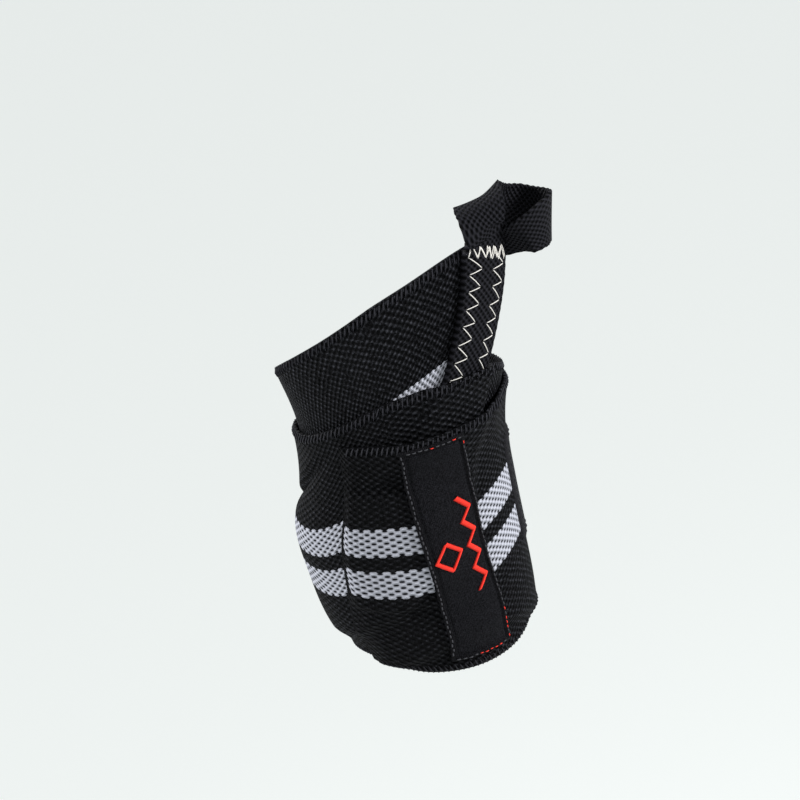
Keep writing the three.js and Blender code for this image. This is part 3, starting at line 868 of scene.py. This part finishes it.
# Polyester satin twill: smooth and even, with a faint slanting grain and a broad, dim shine. Its threads,
# some 0.1 mm apart, are too fine to show, so the grain is drawn at 0.42 mm and the weft at 0.5 mm.
twill_pitch = 0.42
weft_pitch = 0.5
yarn_clump = 0.417
twill, twill_shader = principled("satin_twill", {"Roughness": 0.5, "Specular IOR Level": 0.03})
tree = twill.node_tree
place = node(tree, "SeparateXYZ", {0: node(tree, "UVMap", {}, uv_map="place")}).node.outputs
rim_place = node(tree, "SeparateXYZ", {0: node(tree, "UVMap", {}, uv_map="rim")}).node.outputs
slant = math_of(tree, "MULTIPLY_ADD", place[0], 0.7, place[1])
line = math_of(tree, "SINE", math_of(tree, "MULTIPLY", slant, 2 * math.pi / twill_pitch))
weft = math_of(tree, "SINE", math_of(tree, "MULTIPLY", place[0], 2 * math.pi / weft_pitch))
weave = math_of(tree, "MULTIPLY_ADD", math_of(tree, "MULTIPLY", weft, 0.35), 0.5,
                math_of(tree, "MULTIPLY_ADD", line, 0.35, 0.5))
spot = node(tree, "TexCoord", {}).node.outputs["Object"]
yarn_noise = node(tree, "TexNoise", {"Vector": spot, "Scale": 1 / (yarn_clump * MM), "Detail": 2.0})
weave = math_of(tree, "MULTIPLY_ADD", math_of(tree, "MULTIPLY_ADD", yarn_noise, 2.4, -1.3), 1.0, weave)
weave.node.use_clamp = True
on_border = math_of(tree, "LESS_THAN", rim_place[0], label_margin)
face_colour = mixed(tree, weave, linear("#020203"), linear("#212125"))
border_colour = mixed(tree, weave, linear("#020203"), linear("#1a1a1d"))
tree.links.new(mixed(tree, on_border, face_colour, border_colour), twill_shader.inputs["Base Color"])
bump = node(tree, "Bump", {"Height": weave, "Strength": 0.6, "Distance": 0.0002})
tree.links.new(bump, twill_shader.inputs["Normal"])
label = show("label_twill", label_mesh, twill, ["label"])


def on_label(x, y, lift):
    """Points over the label's face, in mm from its middle, x to the right and y towards the hand"""
    column = np.clip((0.5 - np.asarray(x, float) / label_width) * label_columns, 0, label_columns - 1e-6)
    row = np.clip((0.5 + np.asarray(y, float) / label_length) * label_rows, 0, label_rows - 1e-6)
    i, j = column.astype(int), row.astype(int)
    a, b = (column - i)[..., None], (row - j)[..., None]

    def read(grid):
        near = grid[i, j] * (1 - a) + grid[i + 1, j] * a
        return near * (1 - b) + (grid[i, j + 1] * (1 - a) + grid[i + 1, j + 1] * a) * b

    return read(label_face) + read(label_normal) * np.asarray(lift, float)[..., None]


def rim_stitches(inset, pitch, length, jitter):
    """Short stitches round the label, one row of points for each, and the x and y of their middles"""
    across, tall = label_width / 2 - inset, label_length / 2 - inset
    corners = [(-across, -tall), (across, -tall), (across, tall), (-across, tall), (-across, -tall)]
    corners = np.array(corners)
    made, middles = [], []
    for a, b in zip(corners[:-1], corners[1:]):
        side_length = np.linalg.norm(b - a)
        ahead = (b - a) / side_length
        for start in np.arange(0.4, side_length - length, pitch):
            off = np.array([-ahead[1], ahead[0]]) * draw.uniform(-jitter, jitter)
            spots = np.array([a + ahead * (start + length * s) + off for s in (0, 0.3, 0.7, 1)])
            lifts = np.array([0.0, 0.28, 0.28, 0.0])
            made.append(on_label(spots[:, 0], spots[:, 1], lifts))
            middles.append(spots.mean(axis=0))
    return np.array(made), np.array(middles).T


border_stitches, (stitch_x, stitch_y) = rim_stitches(inset=0.75, pitch=1.7, length=1.35, jitter=0.18)
# The red bobbin thread shows on the right, near the corners
red_ones = (stitch_x > -2) & (np.abs(stitch_y) > 24) & (draw.uniform(size=len(stitch_x)) < 0.45)
dark_thread = thread_material("charcoal_thread", "#3c3c40", 0.6)
red_thread = thread_material("red_thread", "#ea3a2e", 0.5)
dark_mesh = threads("label_stitching", border_stitches[~red_ones], lockstitch_radius)
label_stitching = show("label_stitching", dark_mesh, dark_thread)
red_radius = 0.13
red_mesh = threads("label_red_stitching", border_stitches[red_ones], red_radius)
red_stitching = show("label_red_stitching", red_mesh, red_thread)


satin_slant = 0.45
satin_height = 0.42
satin_radius = 0.22


def satin_line(corners, width, pitch=0.34):
    """Satin stitches laid side by side across a line through corners, in mm on the label's face"""
    corners = np.array(corners, float)
    lengths = np.linalg.norm(np.diff(corners, axis=0), axis=1)
    run_at = np.concatenate(([0], np.cumsum(lengths)))
    at = np.arange(0, run_at[-1], pitch)
    x, y = (np.interp(at, run_at, corners[:, j]) for j in range(2))
    slant = np.array([1.0, satin_slant]) / math.hypot(1.0, satin_slant)
    made = []
    for a, b in zip(x, y):
        steps = np.linspace(-0.5, 0.5, 5)
        lifts = satin_height * np.sqrt(np.maximum(1 - (2 * steps) ** 2, 0)) - 0.05
        made.append(on_label(a + slant[0] * steps * width, b + slant[1] * steps * width, lifts))
    return made


zigzag_line = [(4.9 + (1.7 if i % 2 else -1.7), 16.8 - 4 * i) for i in range(9)]
lozenge = [(-3.6, 4.0), (0.4, 0.2), (-3.6, -5.2), (-7.6, -1.4), (-3.6, 4.0)]
mark = satin_line(zigzag_line, 1.7) + satin_line(lozenge, 1.5)
motif_mesh = threads("label_embroidery", mark, satin_radius, 4)
motif = show("label_embroidery", motif_mesh, red_thread)
